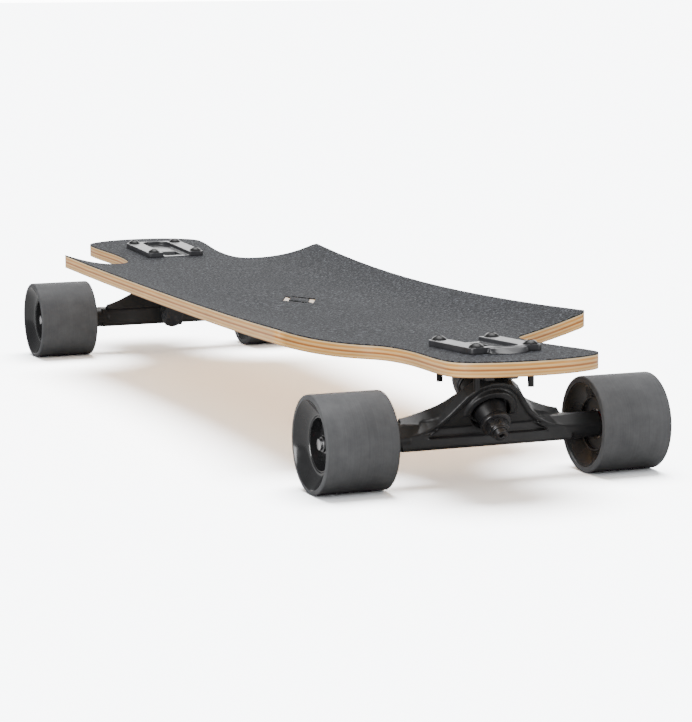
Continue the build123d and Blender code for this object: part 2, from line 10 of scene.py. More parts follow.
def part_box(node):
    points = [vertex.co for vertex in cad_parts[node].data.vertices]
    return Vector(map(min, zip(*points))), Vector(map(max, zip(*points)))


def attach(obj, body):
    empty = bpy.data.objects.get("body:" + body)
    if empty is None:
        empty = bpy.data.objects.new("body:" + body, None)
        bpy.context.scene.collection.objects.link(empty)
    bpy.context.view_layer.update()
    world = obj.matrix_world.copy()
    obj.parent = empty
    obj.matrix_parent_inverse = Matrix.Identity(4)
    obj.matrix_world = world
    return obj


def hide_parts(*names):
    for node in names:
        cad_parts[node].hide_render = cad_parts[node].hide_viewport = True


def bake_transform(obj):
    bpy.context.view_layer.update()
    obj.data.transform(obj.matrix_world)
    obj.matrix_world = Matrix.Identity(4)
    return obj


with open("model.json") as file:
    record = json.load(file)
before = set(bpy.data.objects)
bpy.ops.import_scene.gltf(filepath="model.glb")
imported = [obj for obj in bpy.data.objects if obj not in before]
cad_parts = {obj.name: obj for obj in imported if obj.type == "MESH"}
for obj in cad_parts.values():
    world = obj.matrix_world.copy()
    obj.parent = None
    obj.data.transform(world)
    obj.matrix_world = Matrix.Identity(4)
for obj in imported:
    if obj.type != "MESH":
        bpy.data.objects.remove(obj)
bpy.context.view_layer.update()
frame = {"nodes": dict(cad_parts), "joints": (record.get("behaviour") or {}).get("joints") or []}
nodes = frame["nodes"]

ENDS = ("front", "rear")
SIDES = ("left", "right")
MM = 0.001

# Camera, at the photograph's viewing angle
CAMERA_PLACE = Vector((1.98641, -0.752157, 0.347133))
CAMERA_YAW = math.radians(68.215)
CAMERA_PITCH = math.radians(8.318)
CAMERA_ROLL = math.radians(-0.328)
CAMERA_LENS = 127.67
CAMERA_SENSOR = 36.0
CAMERA_SIGHT = 200.0

# Slope of the kingpin, from the road side up to its head
PIN_TILT = math.radians(36.0)

# Sharpest corner, in degrees, that still shades as one smooth surface
SMOOTH_ALL = 180
SMOOTH_TURNED = 30
SMOOTH_ROUNDED = 40

# How steep a face may be, as the size of its normal's upward share
EDGE_NORMAL = 0.8
TOP_NORMAL = 0.7


# Meshes

def tidy_copy(name):
    """A bmesh of a CAD node with its split corners joined."""
    mesh = bmesh.new()
    mesh.from_mesh(nodes[name].data)
    bmesh.ops.remove_doubles(mesh, verts=mesh.verts, dist=2e-6)
    return mesh


def new_object(name, mesh):
    """An object in the scene from a bmesh, which is freed."""
    data = bpy.data.meshes.new(name)
    mesh.to_mesh(data)
    mesh.free()
    thing = bpy.data.objects.new(name, data)
    bpy.context.scene.collection.objects.link(thing)
    return thing


def apply_modifiers(thing):
    """Puts what the modifiers make into the object's own mesh."""
    bpy.context.view_layer.update()
    graph = bpy.context.evaluated_depsgraph_get()
    made = bpy.data.meshes.new_from_object(thing.evaluated_get(graph))
    thing.modifiers.clear()
    thing.data = made
    return thing


def smooth_shade(thing, angle):
    """Smooth shading with the sharp edges kept."""
    mesh = bmesh.new()
    mesh.from_mesh(thing.data)
    limit = math.radians(angle)
    for face in mesh.faces:
        face.smooth = True
    for edge in mesh.edges:
        edge.smooth = edge.calc_face_angle(math.pi) < limit
    mesh.to_mesh(thing.data)
    mesh.free()
    return thing


def rounded(name, copied, width, segments=2, angle=30.0):
    """A CAD node's mesh with its sharp edges rounded."""
    thing = new_object(name, tidy_copy(copied))
    bevel = thing.modifiers.new("round", "BEVEL")
    bevel.width = width
    bevel.segments = segments
    bevel.limit_method = "ANGLE"
    bevel.angle_limit = math.radians(angle)
    bevel.use_clamp_overlap = True
    apply_modifiers(thing)
    return smooth_shade(thing, SMOOTH_ROUNDED)


def cast(thing, voxel, passes):
    """Runs every solid of the mesh together with soft edges, as a casting has."""
    remesh = thing.modifiers.new("cast", "REMESH")
    remesh.mode = "VOXEL"
    remesh.voxel_size = voxel
    soften = thing.modifiers.new("soften", "SMOOTH")
    soften.factor = 0.5
    soften.iterations = passes
    apply_modifiers(thing)
    return smooth_shade(thing, SMOOTH_ALL)


def lathe(name, profile, centre, steps=128):
    """A closed profile of (radius, y, material) turned about an axis along Y."""
    mesh = bmesh.new()
    turn = [2 * math.pi * i / steps for i in range(steps)]
    rings = []
    for radius, along, _ in profile:
        ring = [Vector((radius * math.cos(a), along, radius * math.sin(a))) for a in turn]
        rings.append([mesh.verts.new(centre + point) for point in ring])
    count = len(profile)
    for k in range(count):
        here, there = rings[k], rings[(k + 1) % count]
        for i in range(steps):
            j = (i + 1) % steps
            face = mesh.faces.new((here[i], here[j], there[j], there[i]))
            face.material_index = profile[k][2]
    bmesh.ops.recalc_face_normals(mesh, faces=mesh.faces)
    return smooth_shade(new_object(name, mesh), SMOOTH_TURNED)


def show(thing, body, replaced, slot, *materials):
    """Gives a piece its materials and body, and hides the CAD nodes that it stands for."""
    for material in materials:
        thing.data.materials.append(material)
    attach(thing, body)
    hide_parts(*replaced)
    return thing


def paint(name, material):
    """A CAD node keeps its mesh and gets a better material."""
    data = nodes[name].data
    data.materials.clear()
    data.materials.append(material)


# Materials

class Shader:
    """A Principled material with a few shorthand ways to add nodes."""

    def __init__(self, name, roughness, metallic=0.0, coat=0.0, coat_roughness=0.1, specular=0.5):
        self.material = bpy.data.materials.new(name)
        self.material.use_nodes = True
        self.tree = self.material.node_tree
        self.main = self.tree.nodes["Principled BSDF"]
        self.main.inputs["Roughness"].default_value = roughness
        self.main.inputs["Metallic"].default_value = metallic
        self.main.inputs["Coat Weight"].default_value = coat
        self.main.inputs["Coat Roughness"].default_value = coat_roughness
        self.main.inputs["Specular IOR Level"].default_value = specular
        self.place = self.tree.nodes.new("ShaderNodeTexCoord").outputs["Object"]

    def stretched(self, x, y, z):
        mapping = self.tree.nodes.new("ShaderNodeMapping")
        mapping.inputs["Scale"].default_value = (x, y, z)
        self.tree.links.new(self.place, mapping.inputs["Vector"])
        return mapping.outputs["Vector"]

    def noise(self, scale, detail=3.0, roughness=0.55, vector=None):
        node = self.tree.nodes.new("ShaderNodeTexNoise")
        node.inputs["Scale"].default_value = scale
        node.inputs["Detail"].default_value = detail
        node.inputs["Roughness"].default_value = roughness
        self.tree.links.new(vector or self.place, node.inputs["Vector"])
        return node.outputs["Fac"]

    def attribute(self, name):
        node = self.tree.nodes.new("ShaderNodeAttribute")
        node.attribute_name = name
        return node.outputs["Fac"]

    def ramp(self, value, stops, interpolation="LINEAR"):
        node = self.tree.nodes.new("ShaderNodeValToRGB")
        node.color_ramp.interpolation = interpolation
        elements = node.color_ramp.elements
        while len(elements) < len(stops):
            elements.new(0.5)
        for element, (position, colour) in zip(elements, stops):
            element.position = position
            element.color = (*colour, 1.0)
        self.tree.links.new(value, node.inputs["Fac"])
        return node.outputs["Color"]

    def mix(self, factor, first, second, mode="MIX"):
        node = self.tree.nodes.new("ShaderNodeMix")
        node.data_type = "RGBA"
        node.blend_type = mode
        for socket, value in ((node.inputs[0], factor), (node.inputs[6], first), (node.inputs[7], second)):
            if isinstance(value, bpy.types.NodeSocket):
                self.tree.links.new(value, socket)
            else:
                socket.default_value = value
        return node.outputs[2]

    def math(self, operation, first, second):
        node = self.tree.nodes.new("ShaderNodeMath")
        node.operation = operation
        for socket, value in zip(node.inputs, (first, second)):
            if isinstance(value, bpy.types.NodeSocket):
                self.tree.links.new(value, socket)
            else:
                socket.default_value = value
        return node.outputs[0]

    def grey(self, value, low, high):
        """A roughness or height that runs between two values."""
        node = self.tree.nodes.new("ShaderNodeMapRange")
        node.inputs["To Min"].default_value = low
        node.inputs["To Max"].default_value = high
        self.tree.links.new(value, node.inputs["Value"])
        return node.outputs["Result"]

    def colour(self, value):
        self.tree.links.new(value, self.main.inputs["Base Color"])

    def rough(self, value):
        self.tree.links.new(value, self.main.inputs["Roughness"])

    def bump(self, height, strength, distance):
        node = self.tree.nodes.new("ShaderNodeBump")
        node.inputs["Strength"].default_value = strength
        node.inputs["Distance"].default_value = distance
        self.tree.links.new(height, node.inputs["Height"])
        self.tree.links.new(node.outputs["Normal"], self.main.inputs["Normal"])


def tones(*levels):
    """Evenly spaced ramp stops from colours."""
    last = len(levels) - 1
    return [(i / last, level) for i, level in enumerate(levels)]


def grip_material():
    made = Shader("grip_grit", roughness=0.8, specular=0.25)
    grit = made.noise(480, detail=3, roughness=0.85)
    patch = made.noise(9, detail=4)
    dark, mid, light = (0.004, 0.0045, 0.0055), (0.016, 0.0175, 0.021), (0.25, 0.265, 0.29)
    speckle = made.ramp(grit, [(0.30, dark), (0.52, mid), (0.74, light)])
    worn = made.ramp(patch, [(0.35, (0.86, 0.87, 0.9)), (0.7, (1.05, 1.05, 1.05))])
    made.colour(made.mix(1.0, speckle, worn, "MULTIPLY"))
    made.bump(grit, 0.9, 0.0006)
    return made.material


def wood_material():
    """Maple veneers: ply layers on the edge by depth, with a painted highlight along the top of the edge,
    long grain on the faces.
    """
    made = Shader("maple_ply", roughness=0.36, coat=0.25, coat_roughness=0.2)
    depth = made.attribute("depth")
    edge = made.attribute("edge")
    pale, tan = (0.96, 0.66, 0.29), (0.80, 0.37, 0.085)
    deep, warm = (0.52, 0.18, 0.035), (0.90, 0.50, 0.17)
    # Edge colour by depth: the first stop is a painted highlight, a pale line along the top of the edge; the
    # last stop makes the very bottom of the edge dark.
    plies_and_top_highlight = made.ramp(depth, [
        (0.0, (0.93, 0.74, 0.46)), (0.10, pale), (0.13, tan), (0.26, tan), (0.29, pale), (0.42, warm),
        (0.45, deep), (0.56, deep), (0.59, pale), (0.70, warm), (0.74, tan), (0.88, pale), (0.92, warm),
        (1.0, (0.34, 0.17, 0.07)),
    ])
    streak = made.noise(1.0, 5, 0.6, made.stretched(26, 26, 420))
    streaks = made.ramp(streak, [(0.3, (0.82, 0.80, 0.76)), (0.7, (1.12, 1.10, 1.06))])
    side = made.mix(1.0, plies_and_top_highlight, streaks, "MULTIPLY")
    grain = made.noise(1.0, 6, 0.62, made.stretched(5, 150, 150))
    figure = made.noise(1.0, 3, 0.5, made.stretched(2.2, 24, 24))
    both = made.math("ADD", made.math("MULTIPLY", grain, 0.6), made.math("MULTIPLY", figure, 0.4))
    face = made.ramp(both, tones(
        (0.50, 0.29, 0.125), (0.66, 0.42, 0.21), (0.78, 0.55, 0.31), (0.84, 0.63, 0.39),
    ))
    made.colour(made.mix(edge, face, side))
    made.rough(made.grey(grain, 0.30, 0.46))
    made.bump(grain, 0.12, 0.0002)
    return made.material


def cast_material(name, tone, roughness, grain):
    """Satin black powder coat over a casting."""
    made = Shader(name, roughness=roughness, coat=0.15, coat_roughness=0.3)
    fine = made.noise(grain, detail=3, roughness=0.6)
    cloud = made.noise(38, detail=4)
    low, high = [c * 0.72 for c in tone], [c * 1.35 for c in tone]
    made.colour(made.ramp(cloud, [(0.3, low), (0.7, high)]))
    both = made.math("ADD", made.math("MULTIPLY", cloud, 0.5), made.math("MULTIPLY", fine, 0.5))
    made.rough(made.grey(both, roughness - 0.09, roughness + 0.12))
    made.bump(fine, 0.16, 0.0003)
    return made.material


def metal_material(name, tone, roughness, stretch=(60, 900, 60), metallic=1.0):
    """Turned or plated metal with fine tool marks."""
    made = Shader(name, roughness=roughness, metallic=metallic)
    marks = made.noise(1.0, 4, 0.6, made.stretched(*stretch))
    cloud = made.noise(120, detail=3)
    low, high = [c * 0.78 for c in tone], [min(1.0, c * 1.2) for c in tone]
    made.colour(made.ramp(cloud, [(0.3, low), (0.75, high)]))
    made.rough(made.grey(marks, roughness - 0.08, roughness + 0.16))
    made.bump(marks, 0.10, 0.0001)
    return made.material


def tread_material():
    """Ground urethane: matt charcoal with faint mottling."""
    made = Shader("tread_urethane", roughness=0.62, specular=0.4)
    cloud = made.noise(55, detail=5, roughness=0.65)
    fine = made.noise(1400, detail=2)
    lines = made.noise(1.0, 3, 0.6, made.stretched(14, 2600, 14))
    blend = made.math("ADD", made.math("MULTIPLY", cloud, 0.7), made.math("MULTIPLY", lines, 0.3))
    made.colour(made.ramp(blend, [
        (0.3, (0.068, 0.070, 0.074)), (0.55, (0.100, 0.102, 0.106)), (0.75, (0.128, 0.130, 0.134)),
    ]))
    made.rough(made.grey(fine, 0.52, 0.76))
    made.bump(made.math("ADD", fine, lines), 0.22, 0.0002)
    return made.material


def gloss_urethane_material():
    """The moulded faces of the wheel, glossy and near black."""
    made = Shader("face_urethane", roughness=0.16, coat=0.2, coat_roughness=0.06)
    cloud = made.noise(45, detail=4)
    fine = made.noise(500, detail=2)
    made.colour(made.ramp(cloud, [(0.3, (0.014, 0.0144, 0.0152)), (0.72, (0.028, 0.0285, 0.03))]))
    made.rough(made.grey(cloud, 0.11, 0.26))
    made.bump(fine, 0.03, 0.0002)
    return made.material


def plastic_material(name, tone, roughness, coat=0.0):
    made = Shader(name, roughness=roughness, coat=coat)
    cloud = made.noise(140, detail=4)
    fine = made.noise(1800, detail=2)
    low, high = [c * 0.8 for c in tone], [min(1.0, c * 1.2) for c in tone]
    made.colour(made.ramp(cloud, [(0.3, low), (0.72, high)]))
    made.rough(made.grey(fine, roughness - 0.06, roughness + 0.1))
    made.bump(fine, 0.12, 0.0001)
    return made.material


GRIP = grip_material()
WOOD = wood_material()
PLATE = cast_material("plate_coat", (0.040, 0.041, 0.045), 0.34, 900)
HANGER = cast_material("hanger_coat", (0.025, 0.0255, 0.0265), 0.33, 700)
BLACK_STEEL = metal_material("black_oxide", (0.13, 0.13, 0.135), 0.27, (300, 300, 300), 0.9)
BLACK_BOLT = metal_material("black_bolt", (0.018, 0.018, 0.019), 0.3, (300, 300, 300), 0.2)
BRIGHT_STEEL = metal_material("bright_steel", (0.62, 0.62, 0.63), 0.24)
NUT_STEEL = metal_material("nut_steel", (0.24, 0.24, 0.245), 0.32)
URETHANE = plastic_material("bushing_urethane", (0.007, 0.007, 0.008), 0.45)
CORE = plastic_material("core_plastic", (0.018, 0.018, 0.019), 0.3, 0.3)
SEAL = plastic_material("seal_rubber", (0.30, 0.035, 0.035), 0.5)
NYLON = plastic_material("cage_nylon", (0.70, 0.66, 0.55), 0.5)
TREAD = tread_material()
FACE = gloss_urethane_material()


# Deck and grip

def mark_depths(thing, top_tree, thickness):
    """Stores how deep each point lies under the top of the wood, and where the board's edge is."""
    data = thing.data
    depth = data.attributes.new("depth", "FLOAT", "POINT")
    values = []
    for vertex in data.vertices:
        _, _, _, distance = top_tree.find_nearest(vertex.co)
        values.append(min(1.0, distance / thickness))
    depth.data.foreach_set("value", values)
    edge = data.attributes.new("edge", "FLOAT", "CORNER")
    flags = [0.0] * len(data.loops)
    for face in data.polygons:
        side = 1.0 if abs(face.normal.z) < EDGE_NORMAL else 0.0
        for loop in face.loop_indices:
            flags[loop] = side
    edge.data.foreach_set("value", flags)


def top_of(name):
    """A search tree over the faces of a CAD node that look up."""
    data = nodes[name].data
    faces = [tuple(p.vertices) for p in data.polygons if p.normal.z > TOP_NORMAL]
    return BVHTree.FromPolygons([v.co.copy() for v in data.vertices], faces)


WOOD_THICKNESS = 10 * MM
WOOD_EDGE_ROUND = 2.4 * MM
GRIP_EDGE_ROUND = 0.25 * MM

deck = rounded("wooden_deck", "deck", WOOD_EDGE_ROUND, segments=4, angle=50)
mark_depths(deck, top_of("deck"), WOOD_THICKNESS)
show(deck, "board", ["deck"], "deck_wood", WOOD)

grip = rounded("grip_sheet", "grip_tape", GRIP_EDGE_ROUND, segments=1, angle=50)
show(grip, "board", ["grip_tape"], "grip", GRIP)


# Trucks

# The hanger's raised arch: its ridge on one side, from the beam's end to over the kingpin ring, in
# millimetres in front of the axle, to the side and above the ground
ARCH = [
    (8.6, 61.0, 35.0), (8.2, 53.0, 36.6), (8.2, 45.0, 39.4), (8.8, 37.5, 43.6), (10.8, 31.0, 49.0),
    (14.2, 25.5, 55.6), (18.4, 19.8, 63.0), (21.8, 12.0, 69.2), (23.2, 4.0, 71.6),
]
ARCH_HALF_T = 1.7 * MM
ARCH_DEPTH = 9.5 * MM

# The long pocket under it, whose half outline is (distance to the side, height)
LEDGE_Z = 34.6 * MM
SHELF_Z = 41.8 * MM
POCKET_HALF = [(50.5 * MM, LEDGE_Z), (44.0 * MM, 36.8 * MM), (34.5 * MM, SHELF_Z)]
POCKET_BACK = 4.7 * MM
POCKET_FRONT = 14.0 * MM

# The flat web between arch and pocket, which starts at this point of the arch
WEB_START = 3
WEB_FRONT = 6.0 * MM
WEB_INSET = 1.3 * MM
WEB_DEPTH = 7.0 * MM

# The bore for the bushing, and the beam's corner that is taken off, as (in front, above the ground)
SEAT_RADIUS = 14.5 * MM
SEAT_CUT_LENGTH = 60 * MM
SEAT_CUT_START = 5 * MM
BEAM_CORNER = ((9.5, 36.5), (14.0, 41.0), (10.0, 50.0), (0.5, 46.0))
BEAM_CUT_HALF = 95.0 * MM

# How finely the castings are run together
HANGER_VOXEL = 0.7 * MM
PLATE_VOXEL = 0.55 * MM
CAST_PASSES = 3


def axle_place(end):
    """How far the axle lies in front of or behind the middle, and its height."""
    low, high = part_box(f"{end}_axle")
    return abs(low.x + high.x) / 2, (low.z + high.z) / 2


def pin_line(end):
    """A point on the kingpin's axis, in the middle of the hanger's seat, and the way up to its head."""
    hinge = next(joint for joint in frame["joints"] if joint["name"] == f"{end}_steer")
    sign = 1 if end == "front" else -1
    return Vector(hinge["pos_m"]), Vector((-sign * math.cos(PIN_TILT), 0, math.sin(PIN_TILT)))


def turned(point, end, axle_x):
    """A point given about the front axle, in the row frame at either end."""
    x, y, z = point
    placed = Vector((axle_x + x, y, z))
    return placed if end == "front" else Vector((-placed.x, -placed.y, placed.z))


def close_loops(mesh, loops):
    """Joins a row of four-cornered loops into a closed bar."""
    for here, there in zip(loops, loops[1:]):
        for k in range(4):
            j = (k + 1) % 4
            mesh.faces.new((here[k], here[j], there[j], there[k]))
    mesh.faces.new(loops[0])
    mesh.faces.new(list(reversed(loops[-1])))
    bmesh.ops.recalc_face_normals(mesh, faces=mesh.faces)


def join_meshes(thing, *others):
    """Adds the meshes of other objects to one object, and deletes them."""
    mesh = bmesh.new()
    mesh.from_mesh(thing.data)
    for other in others:
        mesh.from_mesh(other.data)
        bpy.data.objects.remove(other)
    mesh.to_mesh(thing.data)
    mesh.free()


def arch(end, axle_x):
    """The raised rib over the hanger's face, as a bent bar that runs back into the casting."""
    side = [Vector(point) * MM for point in ARCH]
    path = side + [Vector((p.x, -p.y, p.z)) for p in reversed(side)]
    back = Vector((-math.cos(PIN_TILT), 0, math.sin(PIN_TILT)))
    mesh = bmesh.new()
    loops = []
    for i, point in enumerate(path):
        before, after = path[max(i - 1, 0)], path[min(i + 1, len(path) - 1)]
        out = back.cross(after - before).normalized() * ARCH_HALF_T
        corners = (point + out, point - out, point - out + back * ARCH_DEPTH, point + out + back * ARCH_DEPTH)
        loops.append([mesh.verts.new(turned(corner, end, axle_x)) for corner in corners])
    close_loops(mesh, loops)
    return new_object("arch", mesh)


def fill_between(name, first, second):
    """A closed block between two outlines of the same number of points in the row frame."""
    mesh = bmesh.new()
    loops = [[mesh.verts.new(point) for point in outline] for outline in (first, second)]
    count = len(first)
    for i in range(count):
        j = (i + 1) % count
        mesh.faces.new((loops[0][i], loops[0][j], loops[1][j], loops[1][i]))
    mesh.faces.new(loops[0])
    mesh.faces.new(list(reversed(loops[1])))
    bmesh.ops.recalc_face_normals(mesh, faces=mesh.faces)
    return new_object(name, mesh)


def pocket_cutter(end, axle_x):
    """The long hollow between the ledge of the beam and the shelf under the arch."""
    outline = POCKET_HALF + [(-y, z) for y, z in reversed(POCKET_HALF)]
    outlines = [[turned((x, y, z), end, axle_x) for y, z in outline] for x in (POCKET_BACK, POCKET_FRONT)]
    return fill_between("cutter", *outlines)


def corner_cutter(end, axle_x):
    """The beam's upper front corner, where the wings' faces run down to the beam without a step."""
    outlines = []
    for y in (-BEAM_CUT_HALF, BEAM_CUT_HALF):
        outlines.append([turned((x * MM, y, z * MM), end, axle_x) for x, z in BEAM_CORNER])
    return fill_between("cutter", *outlines)


def web(end, axle_x):
    """The flat face between the arch, the shelf and the kingpin ring."""
    high = [Vector(point) * MM for point in ARCH[WEB_START:]]
    path = high + [Vector((p.x, -p.y, p.z)) for p in reversed(high)]
    back = Vector((-math.cos(PIN_TILT), 0, math.sin(PIN_TILT)))
    mesh = bmesh.new()
    loops = []
    for point in path:
        top = point + back * WEB_INSET
        foot = Vector((WEB_FRONT, point.y, SHELF_Z))
        corners = (top, foot, foot + back * WEB_DEPTH, top + back * WEB_DEPTH)
        loops.append([mesh.verts.new(turned(corner, end, axle_x)) for corner in corners])
    close_loops(mesh, loops)
    thing = new_object("web", mesh)
    cut_away(thing, ring_cutter(end))
    return thing


def ring_cutter(end):
    """The bore that the bushing stands in, open towards the road."""
    point, axis = pin_line(end)
    mesh = bmesh.new()
    bmesh.ops.create_cone(
        mesh, cap_ends=True, segments=96, radius1=SEAT_RADIUS, radius2=SEAT_RADIUS, depth=SEAT_CUT_LENGTH,
    )
    turn = axis.to_track_quat("Z", "Y").to_matrix().to_4x4()
    middle = point - axis * (SEAT_CUT_LENGTH / 2 + SEAT_CUT_START)
    bmesh.ops.transform(mesh, matrix=Matrix.Translation(middle) @ turn, verts=mesh.verts)
    return new_object("cutter", mesh)


BUSHING_SLOT = "bushing_urethane"
BUSHING_TURNS = 96
RIM = 0.9 * MM
RIM_STEPS = 5
SIDE_FALL = 0.35 * MM
SIDE_STEPS = 12
END_BAND = 0.1 * MM


def bushing(end, kind):
    """A bushing turned about the kingpin, slightly full at its side."""
    name = f"{end}_{kind}"
    point, axis = pin_line(end)
    reach = []
    for vertex in nodes[name].data.vertices:
        offset = vertex.co - point
        along = offset.dot(axis)
        reach.append((along, (offset - axis * along).length))
    low, high = min(reach)[0], max(reach)[0]
    bore = min(radius for _, radius in reach)
    wide = [max(radius for along, radius in reach if abs(along - level) < END_BAND) for level in (low, high)]
    profile = [(bore, low, 0)]
    for i in range(RIM_STEPS):
        a = math.pi / 2 * i / (RIM_STEPS - 1)
        profile.append((wide[0] - SIDE_FALL - RIM * (1 - math.sin(a)), low + RIM * (1 - math.cos(a)), 0))
    for i in range(1, SIDE_STEPS):
        share = i / SIDE_STEPS
        radius = wide[0] + (wide[1] - wide[0]) * share - SIDE_FALL * (1 - 4 * share * (1 - share))
        profile.append((radius, low + RIM + (high - low - 2 * RIM) * share, 0))
    for i in range(RIM_STEPS):
        a = math.pi / 2 * (1 - i / (RIM_STEPS - 1))
        profile.append((wide[1] - SIDE_FALL - RIM * (1 - math.sin(a)), high - RIM * (1 - math.cos(a)), 0))
    profile.append((bore, high, 0))
    thing = lathe(f"{name}_turned", profile, Vector((0, 0, 0)), BUSHING_TURNS)
    turn = Vector((0, 1, 0)).rotation_difference(axis).to_matrix().to_4x4()
    thing.data.transform(Matrix.Translation(point) @ turn)
    thing.data.materials.append(URETHANE)
    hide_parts(name)
    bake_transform(thing)


def cut_away(thing, cutter):
    """Takes one mesh out of another, and deletes the cutter."""
    cut = thing.modifiers.new("cut", "BOOLEAN")
    cut.operation = "DIFFERENCE"
    cut.solver = "EXACT"
    cut.object = cutter
    apply_modifiers(thing)
    bpy.data.objects.remove(cutter)


def cast_hanger(end):
    """The hanger with its arch and pockets, run together as one casting."""
    axle_x, _ = axle_place(end)
    thing = new_object(f"{end}_cast_hanger", tidy_copy(f"{end}_hanger"))
    cut_away(thing, corner_cutter(end, axle_x))
    cut_away(thing, pocket_cutter(end, axle_x))
    join_meshes(thing, arch(end, axle_x), web(end, axle_x))
    return cast(thing, HANGER_VOXEL, CAST_PASSES)


# The truck plate, about the middle of its mounting face: u runs outward, v across, w up
PLATE_OUT = 0.75 * MM
PLATE_TILT = math.radians(2.46)
PLATE_RISE = 60.08 * MM
RAIL_V = 13.0 * MM
RECESS_IN = 46.0 * MM
RECESS_OUT = 36.5 * MM
RECESS_FLOOR = 0.7 * MM
RECESS_TOP = 12 * MM
RECESS_ROUND = 11.0 * MM
RECESS_STEPS = 8
CHEEK_U = (10.0 * MM, 28.5 * MM)
CHEEK_V = (8.5 * MM, 16.0 * MM)
CHEEK_W = (-20.0 * MM, -10.6 * MM)
CHEEK_TAPER = 3.5 * MM

# The lip at the plate's outer end
APRON_REACH = (8.0 * MM, 0.3 * MM)
APRON_HALF_V = (15.0 * MM, 14.1 * MM)
APRON_W = (0.1 * MM, 3.9 * MM)
APRON_BACK = 5.0 * MM
APRON_SET_IN = 0.5 * MM
APRON_STEPS = 16

# The mounting bolts, and how much larger their heads are than in CAD
BOLT_U, BOLT_V = 31.75 * MM, 20.65 * MM
HEAD_FROM = 4.4 * MM
HEAD_GROWTH = 1.22


def on_plate(end, u, v, w):
    """A point of the truck plate in the row frame."""
    axle_x, axle_z = axle_place(end)
    x = PLATE_OUT + u * math.cos(PLATE_TILT) - w * math.sin(PLATE_TILT)
    z = axle_z + PLATE_RISE + u * math.sin(PLATE_TILT) + w * math.cos(PLATE_TILT)
    return turned((x, v, z), end, axle_x)


def off_plate(end, point):
    """Where a point of the row frame lies on the truck plate, as (u, v, w)."""
    axle_x, axle_z = axle_place(end)
    sign = 1 if end == "front" else -1
    x = point.x * sign - axle_x - PLATE_OUT
    z = point.z - axle_z - PLATE_RISE
    u = x * math.cos(PLATE_TILT) + z * math.sin(PLATE_TILT)
    w = z * math.cos(PLATE_TILT) - x * math.sin(PLATE_TILT)
    return u, point.y * sign, w


def loft(end, lower, upper):
    """A block between two outlines of (u, v, w) points on the truck plate."""
    outlines = [[on_plate(end, *point) for point in outline] for outline in (lower, upper)]
    return fill_between("block", *outlines)


def prism(end, outline, low, high, shrink=0.0):
    """A block on the truck plate between two heights, narrower across at the bottom by shrink."""
    lower = [(u, v - math.copysign(shrink, v), low) for u, v in outline]
    return loft(end, lower, [(u, v, high) for u, v in outline])


def apron(end):
    """The bulging lip at the plate's outer end, which slopes down to the grip."""
    low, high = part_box(f"{end}_baseplate")
    plate_end = max(abs(low.x), abs(high.x)) - axle_place(end)[0] - PLATE_OUT
    shares = [2 * i / APRON_STEPS - 1 for i in range(APRON_STEPS + 1)]
    outlines = []
    for reach, half, w in zip(APRON_REACH, APRON_HALF_V, APRON_W):
        front = [(plate_end - APRON_SET_IN + reach * (1 - share ** 2), half * share, w) for share in shares]
        back = plate_end - APRON_BACK
        outlines.append([(back, -half, w)] + front + [(back, half, w)])
    return loft(end, *outlines)


def grow_heads(thing, end):
    """Makes the bolts' domed heads as large as the photograph shows them."""
    for vertex in thing.data.vertices:
        u, v, w = off_plate(end, vertex.co)
        if w > HEAD_FROM:
            mid_u, mid_v = math.copysign(BOLT_U, u), math.copysign(BOLT_V, v)
            u = mid_u + (u - mid_u) * HEAD_GROWTH
            v = mid_v + (v - mid_v) * HEAD_GROWTH
            vertex.co = on_plate(end, u, v, HEAD_FROM + (w - HEAD_FROM) * HEAD_GROWTH)


def recess_outline():
    """The channel between the two rails, open inboard and round at its outer end."""
    mid_u, mid_v = RECESS_OUT - RECESS_ROUND, RAIL_V - RECESS_ROUND
    points = [(-RECESS_IN, RAIL_V)]
    for i in range(RECESS_STEPS + 1):
        a = math.pi / 2 * (1 - i / RECESS_STEPS)
        points.append((mid_u + RECESS_ROUND * math.cos(a), mid_v + RECESS_ROUND * math.sin(a)))
    return points + [(u, -v) for u, v in reversed(points)]


def cast_plate(end):
    """The truck plate with its rails, channel and the two cheeks under the deck."""
    thing = new_object(f"{end}_cast_baseplate", tidy_copy(f"{end}_baseplate"))
    cut_away(thing, prism(end, recess_outline(), RECESS_FLOOR, RECESS_TOP))
    cheeks = []
    for side in (-1, 1):
        (u0, u1), (v0, v1) = CHEEK_U, CHEEK_V
        outline = [(u0, side * v0), (u1, side * v0), (u1, side * v1), (u0, side * v1)]
        cheeks.append(prism(end, outline, *CHEEK_W, CHEEK_TAPER))
    join_meshes(thing, apron(end), *cheeks)
    return cast(thing, PLATE_VOXEL, CAST_PASSES)


# Finer copies of CAD nodes: kind, rounding of the edges in millimetres, material, slot, rides on the hanger
DETAILS = (
    ("kingpin", 0.3, BLACK_STEEL, "black_steel", False),
    ("kingpin_nut", 0.35, BLACK_STEEL, "black_steel", False),
    ("mounting_bolts", 0.25, BLACK_BOLT, "black_steel", False),
    ("mounting_nuts", 0.3, BLACK_BOLT, "black_steel", False),
    ("boardside_washer", 0.3, BLACK_STEEL, "black_steel", False),
    ("roadside_washer", 0.3, BLACK_STEEL, "black_steel", False),
    ("axle", 0.4, BRIGHT_STEEL, "bright_steel", True),
    ("axle_nuts", 0.35, NUT_STEEL, "bright_steel", True),
)
PIVOT_CUP_ROUND = 0.3 * MM
DETAIL_ANGLE = 35

